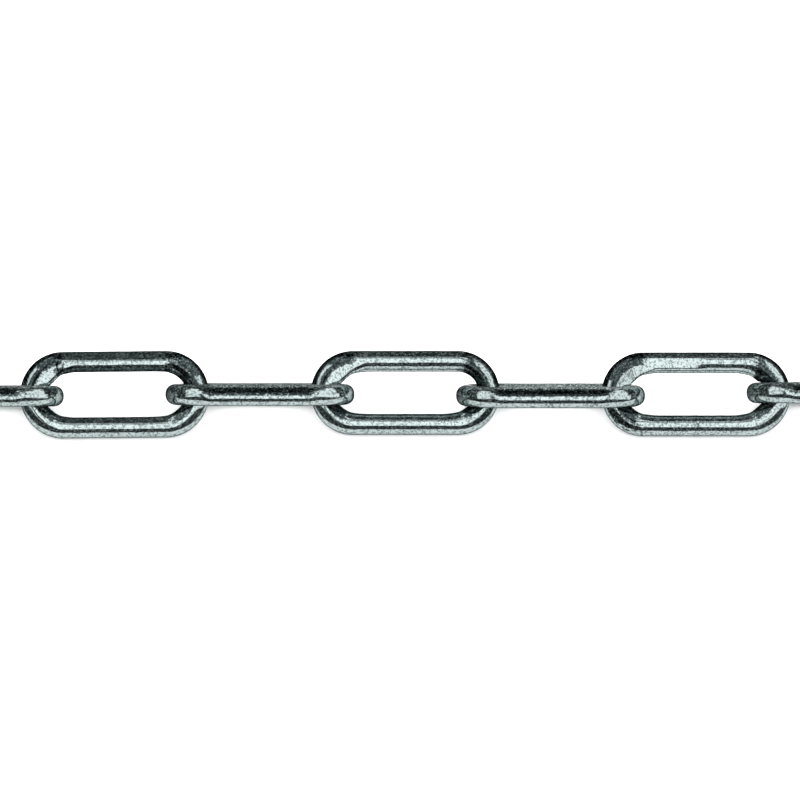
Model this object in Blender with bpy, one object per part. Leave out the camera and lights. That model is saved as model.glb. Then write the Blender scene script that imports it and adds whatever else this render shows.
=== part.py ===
"""A cut length of long-link welded steel chain, pulled straight and lying on the floor.

Seven loose links, each bent from round bar into a loop with two straight bars and two round
bows. Neighbours stand square to each other, so on a floor every link leans at about 45 degrees
and rests on one bar. +X runs along the chain, +Z is up, and the origin is on the floor in the
middle of the chain's box. Units are metres.
"""

from math import cos, pi, radians, sin

import bmesh
import bpy
from mathutils import Matrix, Vector

# Sizes of one link
WIRE_DIAMETER = 0.006
INSIDE_LENGTH = 0.042
OUTSIDE_WIDTH = 0.024

# How the links follow each other: taut they would be an inside length apart
LINK_COUNT = 7
LINK_STEP = 0.0415

# Facets of the wire and of each bow
WIRE_SIDES = 16
BOW_SEGMENTS = 12

# How the links lie: even links lean one way and odd links the other. The exceptions are by
# number, and a link that leans less has its wire's facets turned back to lie flat on the floor.
LEAN = radians(45)
EXTRA_LEAN = {3: radians(-1.7), 5: radians(-3.5)}
YAW = {2: radians(0.8)}
SIDEWAYS = {1: -0.0013, 2: -0.0010, 3: -0.0004, 5: -0.0007, 6: -0.0006}
EXTRA_WIDTH = {2: 0.0008}

SHARP_ANGLE = radians(40)
STEEL_COLOUR = (0.42, 0.45, 0.45, 1.0)
STEEL_ROUGHNESS = 0.32
STEEL_METALLIC = 1.0

# Sizes that follow
WIRE_RADIUS = WIRE_DIAMETER / 2
CROWN_OFFSET = INSIDE_LENGTH / 2 + WIRE_RADIUS
MIDDLE_LINK = (LINK_COUNT + 1) // 2


def clear_scene():
    for obj in list(bpy.data.objects):
        bpy.data.objects.remove(obj, do_unlink=True)


def steel_material(name):
    """Bright drawn steel, one material for each link."""
    material = bpy.data.materials.new(name)
    material.use_nodes = True
    shader = material.node_tree.nodes["Principled BSDF"]
    shader.inputs["Base Color"].default_value = STEEL_COLOUR
    shader.inputs["Roughness"].default_value = STEEL_ROUGHNESS
    shader.inputs["Metallic"].default_value = STEEL_METALLIC
    return material


def bow_radius(number):
    """Radius of a link's bows, at the middle of the wire."""
    return (OUTSIDE_WIDTH + EXTRA_WIDTH.get(number, 0.0) - WIRE_DIAMETER) / 2


def add_bow(bm, radius, facet_turn, heading):
    """Sweep the wire round one bow and return the edges of its two open ends.

    The bow is made of straight facets that touch the true curve, so their joints are mitred:
    a section there is stretched away from the bow's centre. Half a segment at each end of the
    bow belongs to the straight bars. heading is 0 for the bow at +X and pi for the one at -X.
    """
    segment_angle = pi / BOW_SEGMENTS
    mitre = 1 / cos(segment_angle / 2)
    section_to_bow = (
        Matrix.Rotation(heading - pi / 2 + segment_angle / 2, 4, "Z")
        @ Matrix.Scale(mitre, 4, (1, 0, 0))
        @ Matrix.Translation((radius, 0, 0))
        @ Matrix.Rotation(pi / 2, 4, "X")
        @ Matrix.Rotation(pi / WIRE_SIDES + facet_turn, 4, "Z")
    )
    bow_centre = (CROWN_OFFSET - radius) * Vector((cos(heading), sin(heading), 0))
    ring = bmesh.ops.create_circle(
        bm,
        segments=WIRE_SIDES,
        radius=WIRE_RADIUS / cos(pi / WIRE_SIDES),
        matrix=Matrix.Translation(bow_centre) @ section_to_bow,
    )["verts"]
    first_edges = list({edge for vert in ring for edge in vert.link_edges})
    swept = bmesh.ops.spin(
        bm,
        geom=ring + first_edges,
        cent=bow_centre,
        axis=(0, 0, 1),
        angle=segment_angle * (BOW_SEGMENTS - 1),
        steps=BOW_SEGMENTS - 1,
    )
    last_edges = [item for item in swept["geom_last"] if isinstance(item, bmesh.types.BMEdge)]
    return first_edges, last_edges


def link_mesh(number, name):
    """One closed link in its own frame: long side along X, lying in the XY plane."""
    radius = bow_radius(number)
    facet_turn = EXTRA_LEAN.get(number, 0.0)
    bm = bmesh.new()
    right_start, right_end = add_bow(bm, radius, facet_turn, 0.0)
    left_start, left_end = add_bow(bm, radius, facet_turn, pi)
    bmesh.ops.bridge_loops(bm, edges=right_end + left_start)
    bmesh.ops.bridge_loops(bm, edges=left_end + right_start)
    bmesh.ops.recalc_face_normals(bm, faces=bm.faces)
    mesh = bpy.data.meshes.new(name)
    bm.to_mesh(mesh)
    bm.free()
    mesh.shade_smooth()
    mesh.set_sharp_from_angle(angle=SHARP_ANGLE)
    return mesh


def link_pose(number):
    """World matrix of a link: it leans on one bar, and that bar touches the floor."""
    side = 1 if number % 2 == 0 else -1
    lean = LEAN + EXTRA_LEAN.get(number, 0.0)
    height = bow_radius(number) * sin(lean) + WIRE_RADIUS
    place = Vector(((number - MIDDLE_LINK) * LINK_STEP, SIDEWAYS.get(number, 0.0), height))
    turn = Matrix.Rotation(YAW.get(number, 0.0), 4, "Z") @ Matrix.Rotation(side * lean, 4, "X")
    return Matrix.Translation(place) @ turn


def add_empty(name, parent, matrix):
    empty = bpy.data.objects.new(name, None)
    empty.empty_display_size = WIRE_DIAMETER
    bpy.context.collection.objects.link(empty)
    empty.parent = parent
    empty.matrix_local = matrix
    return empty


def add_link(number, parent, matrix):
    name = f"link_{number}"
    obj = bpy.data.objects.new(name, link_mesh(number, name))
    obj.data.materials.append(steel_material(f"{name}_steel"))
    bpy.context.collection.objects.link(obj)
    obj.parent = parent
    obj.matrix_local = matrix
    return obj


def add_swinging_link(number, carrier_number, carrier):
    """Add a link that swings on its carrier's bow, about the wire there.

    The empty between them sits in the middle of that bow, and its Y axis is the hinge.
    """
    bow = Matrix.Translation(((number - carrier_number) * CROWN_OFFSET, 0, 0))
    swing = add_empty(f"swing_{number}", carrier, bow)
    on_bow = (link_pose(carrier_number) @ bow).inverted() @ link_pose(number)
    return add_link(number, swing, on_bow)


def add_arm(middle, direction):
    """Hang the links of one half of the chain on each other, from the middle link outwards."""
    arm = []
    carrier_number, carrier = MIDDLE_LINK, middle
    while 1 <= carrier_number + direction <= LINK_COUNT:
        link = add_swinging_link(carrier_number + direction, carrier_number, carrier)
        arm.append(link)
        carrier_number, carrier = carrier_number + direction, link
    return arm


def centre_over_origin(chain, links):
    """Move the whole chain sideways, so that the middle of its box is over the origin."""
    bpy.context.view_layer.update()
    points = [link.matrix_world @ vert.co for link in links for vert in link.data.vertices]
    for axis in (0, 1):
        values = [point[axis] for point in points]
        chain.location[axis] = -(min(values) + max(values)) / 2


def main():
    clear_scene()
    chain = add_empty("chain", None, Matrix.Identity(4))
    middle = add_link(MIDDLE_LINK, chain, link_pose(MIDDLE_LINK))
    links = [middle] + add_arm(middle, -1) + add_arm(middle, 1)
    centre_over_origin(chain, links)


main()
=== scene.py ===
import random
from math import cos, pi, radians, sin, tan
from typing import NamedTuple

import bpy
import numpy as np
from mathutils import Matrix, Vector, noise


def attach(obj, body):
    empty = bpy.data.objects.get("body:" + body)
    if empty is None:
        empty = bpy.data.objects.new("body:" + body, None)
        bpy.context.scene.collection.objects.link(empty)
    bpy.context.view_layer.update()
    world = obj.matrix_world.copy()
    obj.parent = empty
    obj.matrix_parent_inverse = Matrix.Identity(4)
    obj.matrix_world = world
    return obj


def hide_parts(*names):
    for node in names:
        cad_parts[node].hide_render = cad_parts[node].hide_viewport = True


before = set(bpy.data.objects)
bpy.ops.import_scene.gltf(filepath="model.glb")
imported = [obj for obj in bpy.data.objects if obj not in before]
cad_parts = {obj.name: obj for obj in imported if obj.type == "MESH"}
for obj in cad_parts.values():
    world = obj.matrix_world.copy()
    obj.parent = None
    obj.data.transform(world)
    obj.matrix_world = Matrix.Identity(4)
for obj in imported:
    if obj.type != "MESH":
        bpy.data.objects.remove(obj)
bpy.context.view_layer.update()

bl_info = {
    "name": "Welded Chain Looks",
    "version": (1, 0, 0),
    "blender": (4, 5, 0),
    "location": "3D Viewport > Sidebar > Chain",
    "description": "Makes the fine surface of a long-link steel chain and a pale studio round it",
    "category": "Add Mesh",
}

LINK_NAMES = sorted(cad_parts)


# What each link has of its own


class Looks(NamedTuple):
    """One link's marks, with lengths in metres.

    Where there are four values, each corner has its own: upper left, upper right, lower left and
    lower right. The last three marks are only on links that the camera sees edge on.
    """

    fullness: tuple = (0.0011,) * 4  # metal that fills the inside of the bow
    squareness: tuple = (0.3,) * 4  # how flat that metal is pressed
    inner_painted_shade: tuple = (0.5,) * 4  # painted shade inside the bow
    inner_edge: tuple = (110,) * 4  # where it begins, in degrees round the bar from its outer side
    outer_painted_shade: tuple = (0.0,) * 4  # painted shade outside the bow
    outer_start: tuple = (0.0,) * 4  # where it begins, along the bar from the crown
    under_painted_shade: float = 0.0  # painted shade on the inner side of the upper bar
    ovality: float = 0.00034  # how much the upper bar is out of round
    oval_turn: float = radians(-45)  # where round the bar it is widest, from its outer side
    flat_reach: tuple = ()  # the ends of a hammered flat on the upper bar, left and right
    top_painted_shade: float = 0.7  # painted shade along the upper bar
    top_lift: float = 0.0  # how far round the bar that painted shade is moved up
    ridge: float = 1.0  # how strong the painted highlight on the ridge beside it is


LOOKS = {
    "link_2": Looks(
        fullness=(0.0018, 0.0005, 0.0010, 0.0009), squareness=(1.0, 0.0, 0.0, 0.0),
        inner_painted_shade=(0.0, 0.9, 0.7, 0.75), inner_edge=(90, 80, 110, 105),
        outer_painted_shade=(1.0, 0.75, 0.0, 0.0), outer_start=(0.0078, 0.0045, 0.0, 0.0),
        under_painted_shade=0.9, ovality=0.0004, oval_turn=radians(125),
    ),
    "link_4": Looks(
        fullness=(0.0018, 0.0001, 0.0009, 0.00135), squareness=(1.0, 0.0, 0.0, 0.0),
        inner_painted_shade=(0.0, 0.9, 0.8, 0.8), inner_edge=(90, 80, 102, 115),
        outer_painted_shade=(1.0, 0.4, 0.0, 0.0), outer_start=(0.0078,) * 4, ovality=0.0,
    ),
    "link_5": Looks(ovality=0.00022, top_painted_shade=0.9, top_lift=radians(11), ridge=1.6),
    "link_6": Looks(
        fullness=(0.0015, 0.0015, 0.00105, 0.0016), squareness=(1.0, 0.0, 0.0, 0.0),
        inner_painted_shade=(0.0, 0.8, 0.8, 0.8), inner_edge=(90, 85, 90, 115),
        outer_painted_shade=(0.95, 0.0, 0.5, 0.0), outer_start=(0.0035,) * 4, ovality=0.0,
        flat_reach=(-0.021, 0.0035),
    ),
}

# The forms that all links share. A pair of lengths or angles is a fade from the first to the
# second: along the bar from the crown of the nearer bow, or round the bar from its outer side.
CHEEK_FADE = (0.0080, 0.0185)
CHEEK_BLEND = 0.0003
PRESSED_FULLNESS = 0.0015
BEND_FADE = (0.006, 0.0145)
SHOULDER_MIDDLE = radians(60)
SHOULDER_WIDTH = radians(30)
OVAL_FADE = (0.0125, 0.0155)
FLAT_FADE = 0.004
LEAST_FACING_FLAT = 0.3

# The fine relief: the length of its waves, its pattern's shift from link to link in waves, the
# least and greatest size of a dent and share of the full depth, and the width of the weld's mark
UNEVENNESS_LENGTH = 0.004
UNEVENNESS_SHIFT = (7.3, 2.1, 0.0)
DENT_SIZES = (0.0003, 0.0011)
DENT_SHARES = (0.3, 1.0)
WELD_MARK_WIDTH = 0.0016

# Painted shade inside the bows. A patch that begins before WIDE_PATCH grows wider along the bar.
INNER_FADE = radians(12)
INNER_END = (0.0105, 0.0135)
WIDE_PATCH = radians(86)
WIDENING = radians(38)
WIDENING_FADE = (0.0085, 0.0110)

# Painted shade outside the bows
OUTER_BEGIN = (radians(15), radians(40))
OUTER_STOP = (radians(96), radians(116))
OUTER_RISE = 0.0012
OUTER_END = (0.0125, 0.0165)

# Painted shade on links seen flat on: round the outside of both upper corners, in a patch beside
# the crown at the upper left one, and along the inner side of the upper bar
RIM_PAINTED_SHADE = 0.8
RIM_STOP = (radians(48), radians(62))
RIM_END = (0.0110, 0.0140)
PATCH_PAINTED_SHADE = 0.9
PATCH_BEGIN = (radians(64), radians(76))
PATCH_STOP = (radians(100), radians(114))
PATCH_END = (0.0065, 0.0095)
UNDER_BEGIN = (radians(112), radians(122))
UNDER_START = (0.0100, 0.0130)

# Links seen edge on: painted shade along the upper bar, and a painted highlight on the ridge beside
# it, which reaches further round the lower bar and is fainter at the left end. The last two fades
# are measured from the link's middle, towards the lower bar and to the left.
TOP_BEGIN = (radians(-14), radians(5))
TOP_STOP = (radians(50), radians(75))
TOP_START = (0.0120, 0.0150)
RIDGE_BEGIN = (radians(42), radians(56))
RIDGE_STOP = (radians(100), radians(130))
LOWER_RIDGE_REACH = radians(40)
RIDGE_LOSS = 0.6
LOWER_RIDGE_FADE = (-0.004, 0.004)
RIDGE_LOSS_FADE = (0.0120, 0.0160)


# The steel


class Pattern(NamedTuple):
    """A noise on the steel, and the heights between which it goes from nothing to all."""

    waves_per_metre: float
    detail: float
    roughness: float
    low: float
    high: float


SMUDGES = Pattern(waves_per_metre=260.0, detail=4.0, roughness=0.6, low=0.38, high=0.66)
SPECKS = Pattern(waves_per_metre=1500.0, detail=2.0, roughness=0.7, low=0.46, high=0.62)
GRAINS = Pattern(waves_per_metre=1800.0, detail=2.0, roughness=0.7, low=0.46, high=0.68)

# Flakes break up the edges of the painted shade: their heights are added to what the mesh stores
FLAKES = Pattern(waves_per_metre=1300.0, detail=3.0, roughness=0.7, low=0.3, high=0.7)
FLAKE_CONTRAST = 1.9

# Ripples, and draw marks that are long along the bar and fine across it
DRAW_MARKS_PER_METRE = (180.0, 2600.0, 2600.0)
DRAW_MARK_DETAIL = 3.0
DRAW_MARK_RELIEF = 0.1
RIPPLES_PER_METRE = 1250.0

# How much smudges, specks and the weld dull the steel, and smudges and specks roughen it
SMUDGE_DULLNESS = 0.1
SPECK_DULLNESS = 0.6
WELD_DULLNESS = 0.1
SMUDGE_ROUGHNESS = 0.5
SPECK_ROUGHNESS = 0.5

# How fully the painted shade covers the steel, what grains take off that, and how strongly the
# painted highlight on the ridge pales the steel, evenly and in grains
PAINTED_SHADE_COVER = 0.97
GRAIN_IN_PAINTED_SHADE = 0.25
RIDGE_HIGHLIGHT = 0.09
RIDGE_GRAIN_HIGHLIGHT = 0.16


# The studio


class Softbox(NamedTuple):
    """A lit panel: its edges in degrees to the right of the camera and above it, and its strength."""

    aside: tuple
    above: tuple
    strength: float


SOFTBOXES = {
    "key_softbox": Softbox(aside=(-10, 10), above=(-15, 30), strength=1.1),
    "faint_softbox": Softbox(aside=(-10, 10), above=(30, 50), strength=0.3),
    "right_softbox": Softbox(aside=(12, 80), above=(-18, 13), strength=0.95),
    "high_right_softbox": Softbox(aside=(18, 70), above=(14, 52), strength=0.9),
    "top_right_softbox": Softbox(aside=(57, 81), above=(50, 68), strength=0.9),
    "left_softbox": Softbox(aside=(-60, -20), above=(-15, 12), strength=0.85),
    "high_left_softbox": Softbox(aside=(-62, -15), above=(13, 48), strength=0.9),
    "top_left_softbox": Softbox(aside=(-64, -40), above=(46, 64), strength=0.9),
}

# The floor: how far it reaches each way, and how matt it is
FLOOR_REACH = 4.0
FLOOR_ROUGHNESS = 0.9

# The floor that the steel mirrors: how softly it begins, and how it grows dim to the far left. What
# is behind the chain counts as left by a share.
HORIZON_BLUR = 0.03
BEHIND_SHARE = 0.6
FAR_LEFT_FADE = (-1.0, -0.6)
FAR_LEFT_BRIGHTNESS = 0.2

# The photograph: its size, its scale, and where the middle of the whole link is in it
PHOTO_PIXELS = 800
PIXELS_PER_METRE = 3500
MIDDLE_LINK = "link_4"
MIDDLE_LINK_PIXEL = (405.25, 392.8)


# Settings


class LinkSettings(bpy.types.PropertyGroup):
    """How finely the links are made, and the marks of their making."""

    bar_sides: bpy.props.IntProperty(
        name="Bar sides", description="Points round the bar", default=96, min=16, max=160
    )
    ring_spacing: bpy.props.FloatProperty(
        name="Ring spacing", description="Distance between rings along the bar",
        default=0.00026, min=0.0001, max=0.002, unit="LENGTH", precision=5,
    )
    cheek_fullness: bpy.props.FloatProperty(
        name="Cheek fullness", description="How much of each corner's extra metal is there",
        default=1.0, min=0.0, max=1.0, subtype="FACTOR",
    )
    cheek_clearance: bpy.props.FloatProperty(
        name="Cheek clearance", description="Room between a cheek and the neighbour that swings past",
        default=0.0002, min=0.0, max=0.002, unit="LENGTH", precision=5,
    )
    cheek_squareness: bpy.props.FloatProperty(
        name="Cheek squareness", description="How flat the cheeks are pressed: 0 is round",
        default=6.0, min=0.0, max=10.0,
    )
    bow_flattening: bpy.props.FloatProperty(
        name="Bow flattening", description="How much the bend thins the shoulders of flat-on bows",
        default=0.0003, min=0.0, max=0.001, unit="LENGTH", precision=5,
    )
    bow_squareness: bpy.props.FloatProperty(
        name="Bow squareness", description="How blunt the bows of edge-on links are: 0 is round",
        default=0.2, min=0.0, max=4.0,
    )
    ovality: bpy.props.FloatProperty(
        name="Ovality", description="How much of the upper bars' ovality is there",
        default=1.0, min=0.0, max=2.0,
    )
    flat_depth: bpy.props.FloatProperty(
        name="Flat depth", description="Depth of the hammered flat",
        default=0.00035, min=0.0, max=0.001, unit="LENGTH", precision=5,
    )
    flat_tilt: bpy.props.FloatProperty(
        name="Flat tilt", description="How far the hammered flat faces the inside of the link",
        default=radians(5), min=0.0, max=radians(45), subtype="ANGLE",
    )
    weld_height: bpy.props.FloatProperty(
        name="Weld height", description="Height of the trimmed weld ring",
        default=0.00004, min=0.0, max=0.0005, unit="LENGTH", precision=5,
    )
    weld_width: bpy.props.FloatProperty(
        name="Weld width", description="Width of the weld ring along the bar",
        default=0.0012, min=0.0002, max=0.005, unit="LENGTH", precision=5,
    )
    relief: bpy.props.FloatProperty(
        name="Relief", description="Unevenness of the drawn bar",
        default=0.00003, min=0.0, max=0.0002, unit="LENGTH", precision=5,
    )
    dent_count: bpy.props.IntProperty(
        name="Dents", description="Handling dents on each link", default=26, min=0, max=100
    )
    dent_depth: bpy.props.FloatProperty(
        name="Dent depth", description="Depth of the deepest dent",
        default=0.00005, min=0.0, max=0.0003, unit="LENGTH", precision=5,
    )


class SteelSettings(bpy.types.PropertyGroup):
    """The bright drawn steel."""

    bright: bpy.props.FloatVectorProperty(
        name="Bright steel", description="Colour of the clean metal",
        default=(0.49, 0.57, 0.565), size=3, min=0.0, max=1.0, subtype="COLOR",
    )
    dull: bpy.props.FloatVectorProperty(
        name="Dull steel", description="Colour where the metal is smudged",
        default=(0.06, 0.085, 0.085), size=3, min=0.0, max=1.0, subtype="COLOR",
    )
    # The colour of the painted shade: near-black steel where a dark reflection is painted on
    scale: bpy.props.FloatVectorProperty(
        name="Scale", description="Colour of the dark scale",
        default=(0.014, 0.023, 0.023), size=3, min=0.0, max=1.0, subtype="COLOR",
    )
    smooth_roughness: bpy.props.FloatProperty(
        name="Smooth roughness", description="Roughness of the cleanest metal",
        default=0.08, min=0.0, max=1.0, subtype="FACTOR",
    )
    rough_roughness: bpy.props.FloatProperty(
        name="Dull roughness", description="Roughness of the dullest metal",
        default=0.16, min=0.0, max=1.0, subtype="FACTOR",
    )
    haze: bpy.props.FloatProperty(
        name="Haze", description="Share of pale oxide in the palest grains",
        default=0.14, min=0.0, max=1.0, subtype="FACTOR",
    )
    grain_depth: bpy.props.FloatProperty(
        name="Grain depth", description="Depth of the grain that breaks up the shine",
        default=0.00002, min=0.0, max=0.0002, unit="LENGTH", precision=6,
    )
    edge_tint: bpy.props.FloatVectorProperty(
        name="Edge tint", description="How much the steel mirrors at its outline",
        default=(0.0, 0.0, 0.0), size=3, min=0.0, max=1.0, subtype="COLOR",
    )


class StageSettings(bpy.types.PropertyGroup):
    """The studio: floor, lights and camera."""

    floor_colour: bpy.props.FloatVectorProperty(
        name="Floor", description="Colour of the floor",
        default=(0.9, 0.9, 0.9), size=3, min=0.0, max=1.0, subtype="COLOR",
    )
    sky_brightness: bpy.props.FloatProperty(
        name="Sky", description="Brightness of the pale surround on the floor",
        default=1.9, min=0.0, max=5.0,
    )
    mirrored_floor: bpy.props.FloatProperty(
        name="Mirrored floor", description="Brightness of the floor, as the steel mirrors it",
        default=1.15, min=0.0, max=5.0,
    )
    mirrored_horizon: bpy.props.FloatProperty(
        name="Mirrored horizon", description="How far below level the mirrored floor begins",
        default=radians(13), min=0.0, max=radians(60), subtype="ANGLE",
    )
    gloom: bpy.props.FloatVectorProperty(
        name="Gloom", description="Colour of the unlit room, as the steel mirrors it",
        default=(0.01, 0.018, 0.018), size=3, min=0.0, max=1.0, subtype="COLOR",
    )
    softbox_brightness: bpy.props.FloatProperty(
        name="Softboxes", description="Brightness of the lit panels", default=1.45, min=0.0, max=10.0
    )
    softbox_distance: bpy.props.FloatProperty(
        name="Softbox distance", description="How far the lit panels stand from the chain",
        default=2.5, min=0.2, max=10.0, unit="LENGTH",
    )
    view_elevation: bpy.props.FloatProperty(
        name="View elevation", description="How steeply the camera looks down",
        default=radians(45), min=0.0, max=radians(90), subtype="ANGLE",
    )
    lens: bpy.props.FloatProperty(
        name="Lens", description="Focal length of the camera", default=200.0, min=10.0, max=300.0,
        unit="CAMERA",
    )


# Measures


def smooth_step(low, high, values):
    """0 below low, 1 above high and a smooth rise between."""
    share = np.clip((values - low) / (high - low), 0.0, 1.0)
    return share * share * (3 - 2 * share)


def smooth_fall(low, high, values):
    """1 below low, 0 above high and a smooth fall between."""
    return 1 - smooth_step(low, high, values)


def hump(middle, width, values):
    """1 in the middle, and a smooth fall to 0 on both sides."""
    return np.exp(-(((values - middle) / width) ** 2))


def soft_minimum(first, second, softness):
    """The lesser of two heights, rounded where they cross, and never below 0."""
    closeness = np.clip(0.5 + 0.5 * (second - first) / softness, 0.0, 1.0)
    lesser = second + (first - second) * closeness - softness * closeness * (1 - closeness)
    return np.clip(lesser, 0.0, None)


class MeasuredLink:
    """A packed link's place, directions and sizes, read from its solid, and its looks.

    Its own X runs along the link, its Y across it and its Z out of its plane. Y points up on the
    links that the camera sees flat on, and down on those that it sees edge on.
    """

    def __init__(self, name):
        points = np.array([vertex.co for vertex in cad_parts[name].data.vertices], float)
        middle = (points.min(axis=0) + points.max(axis=0)) / 2
        directions = np.linalg.eigh(np.cov(points.T))[1]
        along = directions[:, 2] * np.sign(directions[0, 2])
        across = directions[:, 1] * np.sign(directions[1, 1])
        out = np.cross(along, across)
        self.name = name
        self.number = int(name.rsplit("_", 1)[1])
        self.looks = LOOKS.get(name, Looks())
        self.flat_on = across[2] > 0
        self.length, self.width, self.thickness = (
            np.ptp(points @ direction) for direction in (along, across, out)
        )
        self.pose = Matrix.Translation(Vector(middle)) @ Matrix(
            np.column_stack((along, across, out)).tolist()
        ).to_4x4()


class BarPath:
    """The middle of a link's bar, in rings once round the link, from its weld towards +X.

    The weld is in the middle of the bar at -Y. What is measured for each ring is a column, so
    that it makes a grid with a row of angles round the bar.
    """

    def __init__(self, link, bar_diameter, spacing):
        bow_radius = (link.width - bar_diameter) / 2
        half_straight = (link.length - bar_diameter) / 2 - bow_radius
        bow = pi * bow_radius
        self.length = 4 * half_straight + 2 * bow
        self.count = round(self.length / spacing)
        run = np.arange(self.count)[:, None] * self.length / self.count
        right_turn = np.clip((run - half_straight) / bow_radius, 0, pi)
        left_turn = np.clip((run - 3 * half_straight - bow) / bow_radius, 0, pi)
        slide = (
            np.clip(run, 0, half_straight)
            - np.clip(run - half_straight - bow, 0, 2 * half_straight)
            + np.clip(run - 3 * half_straight - 2 * bow, 0, half_straight)
        )
        heading = right_turn + left_turn - pi / 2
        self.outward = np.hstack((np.cos(heading), np.sin(heading)))
        self.points = bow_radius * self.outward + np.hstack((slide, 0 * slide))
        self.x, self.y = self.points[:, :1], self.points[:, 1:]
        self.on_upper = (self.y > 0) == link.flat_on
        right_crown = half_straight + bow / 2
        left_crown = 3 * half_straight + bow * 3 / 2
        self.from_crown = np.minimum(abs(run - right_crown), abs(run - left_crown))
        self.from_weld = np.minimum(run, self.length - run)

    def at_corners(self, values):
        """Spread the four values of a link's corners over the rings."""
        upper_left, upper_right, lower_left, lower_right = values
        above = np.where(self.x > 0, upper_right, upper_left)
        below = np.where(self.x > 0, lower_right, lower_left)
        return np.where(self.on_upper, above, below)


# Shape of a link


def room_inside(link, neighbour, path, bar_radius, clearance):
    """Free depth between the inside of the bar and the neighbour's bar that passes through."""
    if neighbour is None:
        return np.full_like(path.x, link.width)
    side = 1 if neighbour.number > link.number else -1
    bow = Vector((-side * (neighbour.length / 2 - bar_radius), 0, 0))
    bow = link.pose.inverted() @ (neighbour.pose @ bow)
    apart = path.points - np.array(bow.xy)
    inward = np.sum(apart * path.outward, axis=1, keepdims=True)
    miss = np.sum(apart ** 2, axis=1, keepdims=True) - inward ** 2
    reach = (bar_radius + clearance) ** 2
    depth = inward - np.sqrt(np.clip(reach - miss, 0, None)) - bar_radius
    return np.where(miss < reach, depth, link.width)


def cheek_fullness(link, neighbours, path, bar_radius, settings):
    """Extra metal inside the bows, along the bar: full beside the crown, where there is room."""
    full = settings.cheek_fullness * path.at_corners(link.looks.fullness)
    full = full * smooth_fall(*CHEEK_FADE, path.from_crown)
    for neighbour in neighbours:
        room = room_inside(link, neighbour, path, bar_radius, settings.cheek_clearance)
        full = soft_minimum(full, room, CHEEK_BLEND)
    return full


def with_cheeks(link, cheeks, path, turn, bar_radius, settings):
    """The bar's radius: plain on the outer half of its section, and with cheeks on the inner."""
    pressed = np.clip(cheeks / PRESSED_FULLNESS, 0, 1)
    power = 2 + settings.cheek_squareness * path.at_corners(link.looks.squareness) * pressed
    inward = abs(np.cos(turn)) / (bar_radius + cheeks)
    sideways = abs(np.sin(turn)) / bar_radius
    inner = (inward ** power + sideways ** power) ** (-1 / power)
    return np.where(np.cos(turn) < 0, inner, bar_radius)


def with_bent_bows(radius, link, path, turn, bar_radius, settings):
    """Thin the shoulders of bows that are seen flat on, and blunt those that are seen edge on."""
    bend = smooth_fall(*BEND_FADE, path.from_crown)
    if link.flat_on:
        shoulder = hump(SHOULDER_MIDDLE, SHOULDER_WIDTH, abs(turn))
        return radius - settings.bow_flattening * bend * shoulder
    power = 2 + settings.bow_squareness * bend
    blunt = (abs(np.cos(turn)) ** power + abs(np.sin(turn)) ** power) ** (-1 / power)
    return np.where(np.cos(turn) > 0, bar_radius * blunt, radius)


def with_hammered_flat(radius, link, path, turn, bar_radius, settings):
    """Press a flat into the upper side of a link's upper bar, where a plane cuts the bar."""
    left, right = link.looks.flat_reach
    pressed = path.on_upper * smooth_step(left - FLAT_FADE, left, path.x)
    pressed = pressed * smooth_fall(right - FLAT_FADE, right, path.x)
    facing_flat = np.cos(turn - pi / 2 - settings.flat_tilt)
    plane = (bar_radius - settings.flat_depth) / np.clip(facing_flat, LEAST_FACING_FLAT, 1)
    return radius + (np.minimum(radius, plane) - radius) * pressed


def bar_section(link, neighbours, path, turn, bar_radius, settings):
    """The bar's radius at each ring and angle round it, with the larger marks of its making."""
    looks = link.looks
    cheeks = cheek_fullness(link, neighbours, path, bar_radius, settings)
    radius = with_cheeks(link, cheeks, path, turn, bar_radius, settings)
    radius = with_bent_bows(radius, link, path, turn, bar_radius, settings)
    oval = settings.ovality * looks.ovality * np.cos(2 * (turn - looks.oval_turn))
    radius = radius + oval * path.on_upper * smooth_step(*OVAL_FADE, path.from_crown)
    if looks.flat_reach:
        radius = with_hammered_flat(radius, link, path, turn, bar_radius, settings)
    return radius + settings.weld_height * hump(0, settings.weld_width / 2, path.from_weld)


def surface_relief(points, seed, settings):
    """Height of the surface above the plain bar: slow unevenness and small handling dents."""
    shift = Vector([step * seed for step in UNEVENNESS_SHIFT])
    waves = 1 / UNEVENNESS_LENGTH
    height = np.array([noise.noise(Vector(point) * waves + shift) for point in points])
    height *= settings.relief
    draw = random.Random(seed)
    for _ in range(settings.dent_count):
        centre = points[draw.randrange(len(points))]
        size = draw.uniform(*DENT_SIZES)
        depth = settings.dent_depth * draw.uniform(*DENT_SHARES)
        distance = np.linalg.norm(points - centre, axis=1)
        height -= depth * hump(0, size, distance)
    return height


def swept_points(link, path, turn, radius, settings):
    """Points of the surface, ring by ring, with its fine relief."""
    direction = np.empty((*radius.shape, 3))
    direction[..., :2] = path.outward[:, None, :] * np.cos(turn)[..., None]
    direction[..., 2] = np.sin(turn)
    points = radius[..., None] * direction
    points[..., :2] += path.points[:, None, :]
    points = points.reshape(-1, 3)
    relief = surface_relief(points, link.number, settings)
    return points + direction.reshape(-1, 3) * relief[:, None]


def corner_numbers(rings, sides):
    """The ring and the side of each face's four corners, counted on past the last one."""
    ring, side = np.meshgrid(np.arange(rings), np.arange(sides), indexing="ij")
    corner_rings = np.stack((ring, ring + 1, ring + 1, ring), axis=-1)
    corner_sides = np.stack((side, side, side + 1, side + 1), axis=-1)
    return corner_rings.reshape(-1, 4), corner_sides.reshape(-1, 4)


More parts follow.
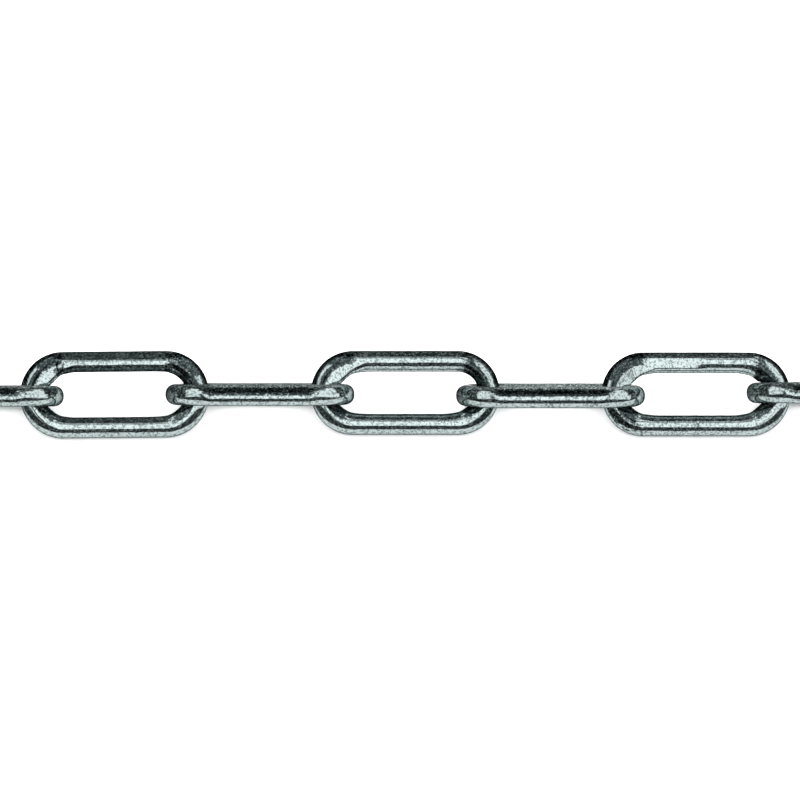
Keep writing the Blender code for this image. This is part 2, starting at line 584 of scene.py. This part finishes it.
def make_link_mesh(link, neighbours, bar_diameter, settings):
    """Sweep the bar round the link in fine rings, with the marks of its making as real relief."""
    bar_radius = bar_diameter / 2
    sides = settings.bar_sides
    path = BarPath(link, bar_diameter, settings.ring_spacing)
    turn = (np.arange(sides)[None, :] * 2 * pi / sides + pi) % (2 * pi) - pi
    radius = bar_section(link, neighbours, path, turn, bar_radius, settings)
    points = swept_points(link, path, turn, radius, settings)
    corner_rings, corner_sides = corner_numbers(path.count, sides)
    faces = corner_rings % path.count * sides + corner_sides % sides
    mesh = bpy.data.meshes.new(f"{link.name}_steel")
    mesh.from_pydata(points.tolist(), [], faces.tolist())
    mesh.shade_smooth()
    run = corner_rings.ravel() * path.length / path.count
    around = corner_sides.ravel() / sides
    add_bar_coordinates(mesh, link, path, bar_radius, run, around)
    # Painted shade goes in the first store, and a painted highlight, on links seen edge on, in the
    # second
    store(mesh, "scale", "POINT", painted_shade(link, path, turn))
    store(mesh, "painted_highlight", "POINT", painted_ridge_highlight(link, path, turn))
    return mesh


# Marks that the steel's material reads


def store(mesh, name, domain, values):
    """Keep a number for each point or face corner of a mesh."""
    stored = mesh.attributes.new(name, "FLOAT", domain)
    stored.data.foreach_set("value", values.astype(np.float32).ravel())


def add_bar_coordinates(mesh, link, path, bar_radius, run, around):
    """Store where each face corner is on the bar, for the grain of the steel, and the weld.

    Each link's bar starts two of its lengths further on, so no two links have the same grain.
    """
    turn = 2 * pi * around
    start = link.number * 2 * path.length
    place = np.column_stack((start + run, bar_radius * np.cos(turn), bar_radius * np.sin(turn)))
    stored = mesh.attributes.new("bar_place", "FLOAT_VECTOR", "CORNER")
    stored.data.foreach_set("vector", place.astype(np.float32).ravel())
    store(mesh, "weld", "CORNER", hump(0, WELD_MARK_WIDTH, np.minimum(run, path.length - run)))
    flat = mesh.uv_layers.new(name="bar")
    spread = np.column_stack((run / path.length, around))
    flat.data.foreach_set("uv", spread.astype(np.float32).ravel())


def bow_painted_shade(link, path, turn):
    """Painted shade inside the bows and outside them."""
    looks = link.looks
    edge = np.radians(path.at_corners(looks.inner_edge))
    edge = edge - WIDENING * smooth_step(*WIDENING_FADE, path.from_crown) * (edge < WIDE_PATCH)
    inner = path.at_corners(looks.inner_painted_shade) * smooth_fall(*INNER_END, path.from_crown)
    inner = inner * smooth_step(edge - INNER_FADE, edge + INNER_FADE, abs(turn))
    rise = (path.from_crown - path.at_corners(looks.outer_start)) / OUTER_RISE
    outer = path.at_corners(looks.outer_painted_shade) * np.clip(rise + 0.5, 0, 1)
    outer = outer * smooth_fall(*OUTER_END, path.from_crown)
    outer = outer * smooth_step(*OUTER_BEGIN, abs(turn)) * smooth_fall(*OUTER_STOP, abs(turn))
    return np.maximum(inner, outer)


def flat_on_painted_shade(link, path, turn):
    """Painted shade on the upper corners and the upper bar of a link that is seen flat on."""
    upper_left = path.on_upper * (path.x < 0)
    rim = RIM_PAINTED_SHADE * path.on_upper * smooth_fall(*RIM_END, path.from_crown)
    rim = rim * smooth_fall(*RIM_STOP, abs(turn))
    patch = PATCH_PAINTED_SHADE * upper_left * smooth_fall(*PATCH_END, path.from_crown)
    patch = patch * smooth_step(*PATCH_BEGIN, abs(turn)) * smooth_fall(*PATCH_STOP, abs(turn))
    under = link.looks.under_painted_shade * path.on_upper * smooth_step(*UNDER_START, path.from_crown)
    under = under * smooth_step(*UNDER_BEGIN, abs(turn))
    return np.maximum(np.maximum(rim, patch), under)


def edge_on_painted_shade(link, path, turn):
    """Painted shade along the upper bar of a link that is seen edge on."""
    straight = path.on_upper * smooth_step(*TOP_START, path.from_crown)
    top = smooth_step(*TOP_BEGIN, turn - link.looks.top_lift) * smooth_fall(*TOP_STOP, turn)
    return link.looks.top_painted_shade * top * straight


def painted_shade(link, path, turn):
    """How much painted shade each point has."""
    along_bar = flat_on_painted_shade if link.flat_on else edge_on_painted_shade
    return np.maximum(bow_painted_shade(link, path, turn), along_bar(link, path, turn))


def painted_ridge_highlight(link, path, turn):
    """How strong the painted highlight on the ridge is at each point; only links seen edge on have
    it.
    """
    if link.flat_on:
        return np.zeros((path.count, turn.size))
    lower = smooth_step(*LOWER_RIDGE_FADE, path.y)
    ridge = smooth_step(*RIDGE_BEGIN, turn)
    ridge = ridge * smooth_fall(*RIDGE_STOP, turn - LOWER_RIDGE_REACH * lower)
    fading = 1 - RIDGE_LOSS * smooth_step(*RIDGE_LOSS_FADE, -path.x)
    return link.looks.ridge * ridge * fading


# Shader maths


class Number:
    """A shader socket that takes part in sums, so that an expression adds its Math nodes."""

    def __init__(self, shader, socket):
        self.shader = shader
        self.socket = socket

    def math(self, operation, *values):
        inputs = dict(enumerate(values))
        return self.shader.node("ShaderNodeMath", {"operation": operation}, inputs)

    def __add__(self, other):
        return self.math("ADD", self, other)

    def __radd__(self, other):
        return self.math("ADD", other, self)

    def __sub__(self, other):
        return self.math("SUBTRACT", self, other)

    def __rsub__(self, other):
        return self.math("SUBTRACT", other, self)

    def __mul__(self, other):
        return self.math("MULTIPLY", self, other)

    def __rmul__(self, other):
        return self.math("MULTIPLY", other, self)


class Shader:
    """A node tree, with one method that adds any node."""

    def __init__(self, tree):
        self.tree = tree
        tree.nodes.clear()

    def node(self, kind, settings=None, inputs=None, output=0):
        """Add a node of a kind: its settings first, then its sockets' values or links."""
        made = self.tree.nodes.new(kind)
        for name, value in (settings or {}).items():
            setattr(made, name, value)
        for name, value in (inputs or {}).items():
            if isinstance(value, Number):
                self.tree.links.new(value.socket, made.inputs[name])
            else:
                made.inputs[name].default_value = value
        return Number(self, made.outputs[output]) if len(made.outputs) else made

    def stored(self, name, output="Fac"):
        """What the mesh stores under a name."""
        return self.node("ShaderNodeAttribute", {"attribute_name": name}, output=output)

    def scaled(self, vector, scale):
        return self.node("ShaderNodeVectorMath", {"operation": "MULTIPLY"}, {0: vector, 1: scale})

    def noise(self, vector, scale, detail=2.0, roughness=0.5):
        return self.node(
            "ShaderNodeTexNoise", {"noise_dimensions": "3D"},
            {"Vector": vector, "Scale": scale, "Detail": detail, "Roughness": roughness},
        )

    def between(self, value, low, high):
        """0 where value is at low, 1 at high and a smooth rise between."""
        return self.node(
            "ShaderNodeMapRange", {"interpolation_type": "SMOOTHSTEP"},
            {"Value": value, "From Min": low, "From Max": high},
        )

    def pattern(self, place, pattern):
        """0 where a pattern's noise is low, 1 where it is high and a smooth rise between."""
        height = self.noise(place, pattern.waves_per_metre, pattern.detail, pattern.roughness)
        return self.between(height, pattern.low, pattern.high)

    def mixed(self, factor, first, second):
        """A colour between two colours."""
        return self.node(
            "ShaderNodeMix", {"data_type": "RGBA"}, {0: factor, 6: first, 7: second}, output=2
        )


def make_steel(settings):
    """Bright drawn steel: draw marks, a grain that frays the highlights, specks, painted shade
    and a painted highlight.
    """
    material = bpy.data.materials.new("drawn_steel")
    material.use_nodes = True
    shader = Shader(material.node_tree)
    place = shader.stored("bar_place", output="Vector")
    weld = shader.stored("weld")
    painted_highlight = shader.stored("painted_highlight")
    smudges = shader.pattern(place, SMUDGES)
    specks = shader.pattern(place, SPECKS)
    grains = shader.pattern(place, GRAINS)
    flakes = shader.noise(place, FLAKES.waves_per_metre, FLAKES.detail, FLAKES.roughness)
    # Painted shade: where the mesh stores it, a near-black colour covers the steel, its edges frayed
    # by flakes
    flaked_shade = shader.stored("scale") + FLAKE_CONTRAST * (flakes - 0.5)
    scaled = shader.between(flaked_shade, FLAKES.low, FLAKES.high)

    dulled = SMUDGE_DULLNESS * smudges + SPECK_DULLNESS * specks + WELD_DULLNESS * weld
    clean = shader.mixed(dulled, (*settings.bright, 1.0), (*settings.dull, 1.0))
    shade_cover = scaled * (PAINTED_SHADE_COVER - GRAIN_IN_PAINTED_SHADE * grains)
    colour = shader.mixed(shade_cover, clean, (*settings.scale, 1.0))
    roughened = SPECK_ROUGHNESS * specks + SMUDGE_ROUGHNESS * smudges
    spread = settings.rough_roughness - settings.smooth_roughness
    roughness = settings.smooth_roughness + spread * roughened
    # Random grains of pale oxide, and a painted highlight where the mesh stores it: less metallic
    # steel that the pale surround lights
    oxide_and_highlight = settings.haze * grains + painted_highlight * (RIDGE_HIGHLIGHT + RIDGE_GRAIN_HIGHLIGHT * grains)
    draw_marks = shader.noise(shader.scaled(place, DRAW_MARKS_PER_METRE), 1.0, DRAW_MARK_DETAIL)
    relief = shader.noise(place, RIPPLES_PER_METRE) + DRAW_MARK_RELIEF * draw_marks
    bump = shader.node(
        "ShaderNodeBump", None, {"Strength": 1.0, "Distance": settings.grain_depth, "Height": relief}
    )
    steel = shader.node(
        "ShaderNodeBsdfPrincipled", None,
        {
            "Base Color": colour, "Roughness": roughness, "Metallic": 1 - oxide_and_highlight, "Normal": bump,
            "Specular Tint": (*settings.edge_tint, 1.0),
        },
    )
    shader.node("ShaderNodeOutputMaterial", None, {"Surface": steel})
    return material


# Studio


def view_directions(elevation):
    """The camera's right, its up, and the direction from the chain to the camera."""
    right = Vector((1, 0, 0))
    up = Vector((0, sin(elevation), cos(elevation)))
    return right, up, right.cross(up)


def add_camera(settings):
    """Look along the middle link's normal, with that link where the photograph has it."""
    right, up, back = view_directions(settings.view_elevation)
    data = bpy.data.cameras.new("camera")
    data.lens = settings.lens
    distance = PHOTO_PIXELS / PIXELS_PER_METRE * data.lens / data.sensor_width
    link_middle = MeasuredLink(MIDDLE_LINK).pose.translation
    centre_pixel = PHOTO_PIXELS / 2
    aside = (MIDDLE_LINK_PIXEL[0] - centre_pixel) / PIXELS_PER_METRE
    above = (centre_pixel - MIDDLE_LINK_PIXEL[1]) / PIXELS_PER_METRE
    target = link_middle - aside * right - above * up
    camera = bpy.data.objects.new("camera", data)
    turn = Matrix((right, up, back)).transposed().to_4x4()
    camera.matrix_world = Matrix.Translation(target + distance * back) @ turn
    bpy.context.scene.collection.objects.link(camera)
    bpy.context.scene.camera = camera


def add_softbox(name, box, settings):
    """Hang a lit panel so that it faces the chain.

    Its energy grows with its area, so a panel of any size mirrors equally bright.
    """
    right, up, back = view_directions(settings.view_elevation)
    left_edge, right_edge = (radians(edge) for edge in box.aside)
    lower_edge, upper_edge = (radians(edge) for edge in box.above)
    turn_aside = (left_edge + right_edge) / 2
    turn_above = (lower_edge + upper_edge) / 2
    direction = cos(turn_above) * (cos(turn_aside) * back + sin(turn_aside) * right)
    direction += sin(turn_above) * up
    panel_right = cos(turn_aside) * right - sin(turn_aside) * back
    panel_up = direction.cross(panel_right)
    distance = settings.softbox_distance
    data = bpy.data.lights.new(name, "AREA")
    data.shape = "RECTANGLE"
    data.size = 2 * distance * tan((right_edge - left_edge) / 2)
    data.size_y = 2 * distance * tan((upper_edge - lower_edge) / 2)
    data.energy = settings.softbox_brightness * box.strength * pi * data.size * data.size_y
    panel = bpy.data.objects.new(name, data)
    turn = Matrix((panel_right, panel_up, direction)).transposed().to_4x4()
    panel.matrix_world = Matrix.Translation(distance * direction) @ turn
    bpy.context.scene.collection.objects.link(panel)


def add_floor(settings):
    """A wide pale floor under the chain, which the steel doesn't mirror."""
    mesh = bpy.data.meshes.new("floor")
    corners = [(x * FLOOR_REACH, y * FLOOR_REACH, 0) for x, y in ((-1, -1), (1, -1), (1, 1), (-1, 1))]
    mesh.from_pydata(corners, [], [(0, 1, 2, 3)])
    floor = bpy.data.objects.new("floor", mesh)
    material = bpy.data.materials.new("pale_floor")
    material.use_nodes = True
    shader = Shader(material.node_tree)
    paint = shader.node(
        "ShaderNodeBsdfPrincipled", None,
        {
            "Base Color": (*settings.floor_colour, 1.0), "Roughness": FLOOR_ROUGHNESS,
            "Specular IOR Level": 0.0,
        },
    )
    shader.node("ShaderNodeOutputMaterial", None, {"Surface": paint})
    mesh.materials.append(material)
    floor.visible_glossy = False
    bpy.context.scene.collection.objects.link(floor)


def light_the_room(settings):
    """A pale surround for the floor and the view, and a dim room over a pale floor for the steel.

    The floor that the steel mirrors begins below level, as one does that ends close by, so a dark
    line parts the key softbox from it on every bar.
    """
    world = bpy.data.worlds.new("room")
    world.use_nodes = True
    bpy.context.scene.world = world
    shader = Shader(world.node_tree)
    direction = shader.node("ShaderNodeTexCoord", output="Generated")
    aside, behind, height = (
        shader.node("ShaderNodeSeparateXYZ", None, {"Vector": direction}, output=axis)
        for axis in "XYZ"
    )
    lit = shader.between(aside - BEHIND_SHARE * behind, *FAR_LEFT_FADE)
    horizon = -sin(settings.mirrored_horizon)
    below = 1 - shader.between(height, horizon - HORIZON_BLUR, horizon + HORIZON_BLUR)
    floor_share = below * (FAR_LEFT_BRIGHTNESS + (1 - FAR_LEFT_BRIGHTNESS) * lit)
    floor = (settings.mirrored_floor,) * 3
    room = shader.mixed(floor_share, (*settings.gloom, 1.0), (*floor, 1.0))
    white = (1.0, 1.0, 1.0, 1.0)
    pale = shader.node(
        "ShaderNodeBackground", None, {"Color": white, "Strength": settings.sky_brightness}
    )
    dim = shader.node("ShaderNodeBackground", None, {"Color": room, "Strength": 1.0})
    mirrored = shader.node("ShaderNodeLightPath", output="Is Glossy Ray")
    seen = shader.node("ShaderNodeMixShader", None, {0: mirrored, 1: pale, 2: dim})
    shader.node("ShaderNodeOutputWorld", None, {"Surface": seen})


# Operators and panel


class CHAIN_OT_make_links(bpy.types.Operator):
    """Make each link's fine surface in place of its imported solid"""

    bl_idname = "chain.make_links"
    bl_label = "Make Links"

    def execute(self, context):
        settings = context.scene.chain_links
        steel = make_steel(context.scene.chain_steel)
        links = [MeasuredLink(name) for name in LINK_NAMES]
        bar_diameter = min(link.thickness for link in links)
        for link, *neighbours in zip(links, [None, *links], [*links[1:], None]):
            mesh = make_link_mesh(link, neighbours, bar_diameter, settings)
            mesh.materials.append(steel)
            mesh.transform(link.pose)
            piece = bpy.data.objects.new(f"{link.name}_steel", mesh)
            context.scene.collection.objects.link(piece)
            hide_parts(link.name)
            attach(piece, link.name)
        return {"FINISHED"}


class CHAIN_OT_set_stage(bpy.types.Operator):
    """Set up the pale floor, the softboxes and the camera"""

    bl_idname = "chain.set_stage"
    bl_label = "Set Stage"

    def execute(self, context):
        settings = context.scene.chain_stage
        add_floor(settings)
        light_the_room(settings)
        add_camera(settings)
        for name, box in SOFTBOXES.items():
            add_softbox(name, box, settings)
        context.scene.view_settings.view_transform = "Standard"
        return {"FINISHED"}


class CHAIN_PT_looks(bpy.types.Panel):
    """The settings of the chain and its studio, each with the button that uses them"""

    bl_idname = "CHAIN_PT_looks"
    bl_label = "Welded Chain"
    bl_space_type = "VIEW_3D"
    bl_region_type = "UI"
    bl_category = "Chain"

    def draw(self, context):
        groups = (
            (CHAIN_OT_make_links, (context.scene.chain_links, context.scene.chain_steel)),
            (CHAIN_OT_set_stage, (context.scene.chain_stage,)),
        )
        for operator, settings_groups in groups:
            box = self.layout.box()
            for settings in settings_groups:
                for name in settings.__annotations__:
                    box.prop(settings, name)
            box.operator(operator.bl_idname)


CLASSES = (
    LinkSettings, SteelSettings, StageSettings,
    CHAIN_OT_make_links, CHAIN_OT_set_stage, CHAIN_PT_looks,
)


def register():
    for cls in CLASSES:
        bpy.utils.register_class(cls)
    bpy.types.Scene.chain_links = bpy.props.PointerProperty(type=LinkSettings)
    bpy.types.Scene.chain_steel = bpy.props.PointerProperty(type=SteelSettings)
    bpy.types.Scene.chain_stage = bpy.props.PointerProperty(type=StageSettings)


def unregister():
    del bpy.types.Scene.chain_stage
    del bpy.types.Scene.chain_steel
    del bpy.types.Scene.chain_links
    for cls in reversed(CLASSES):
        bpy.utils.unregister_class(cls)


def main():
    register()
    bpy.ops.chain.make_links()
    bpy.ops.chain.set_stage()


if __name__ == "__main__":
    main()
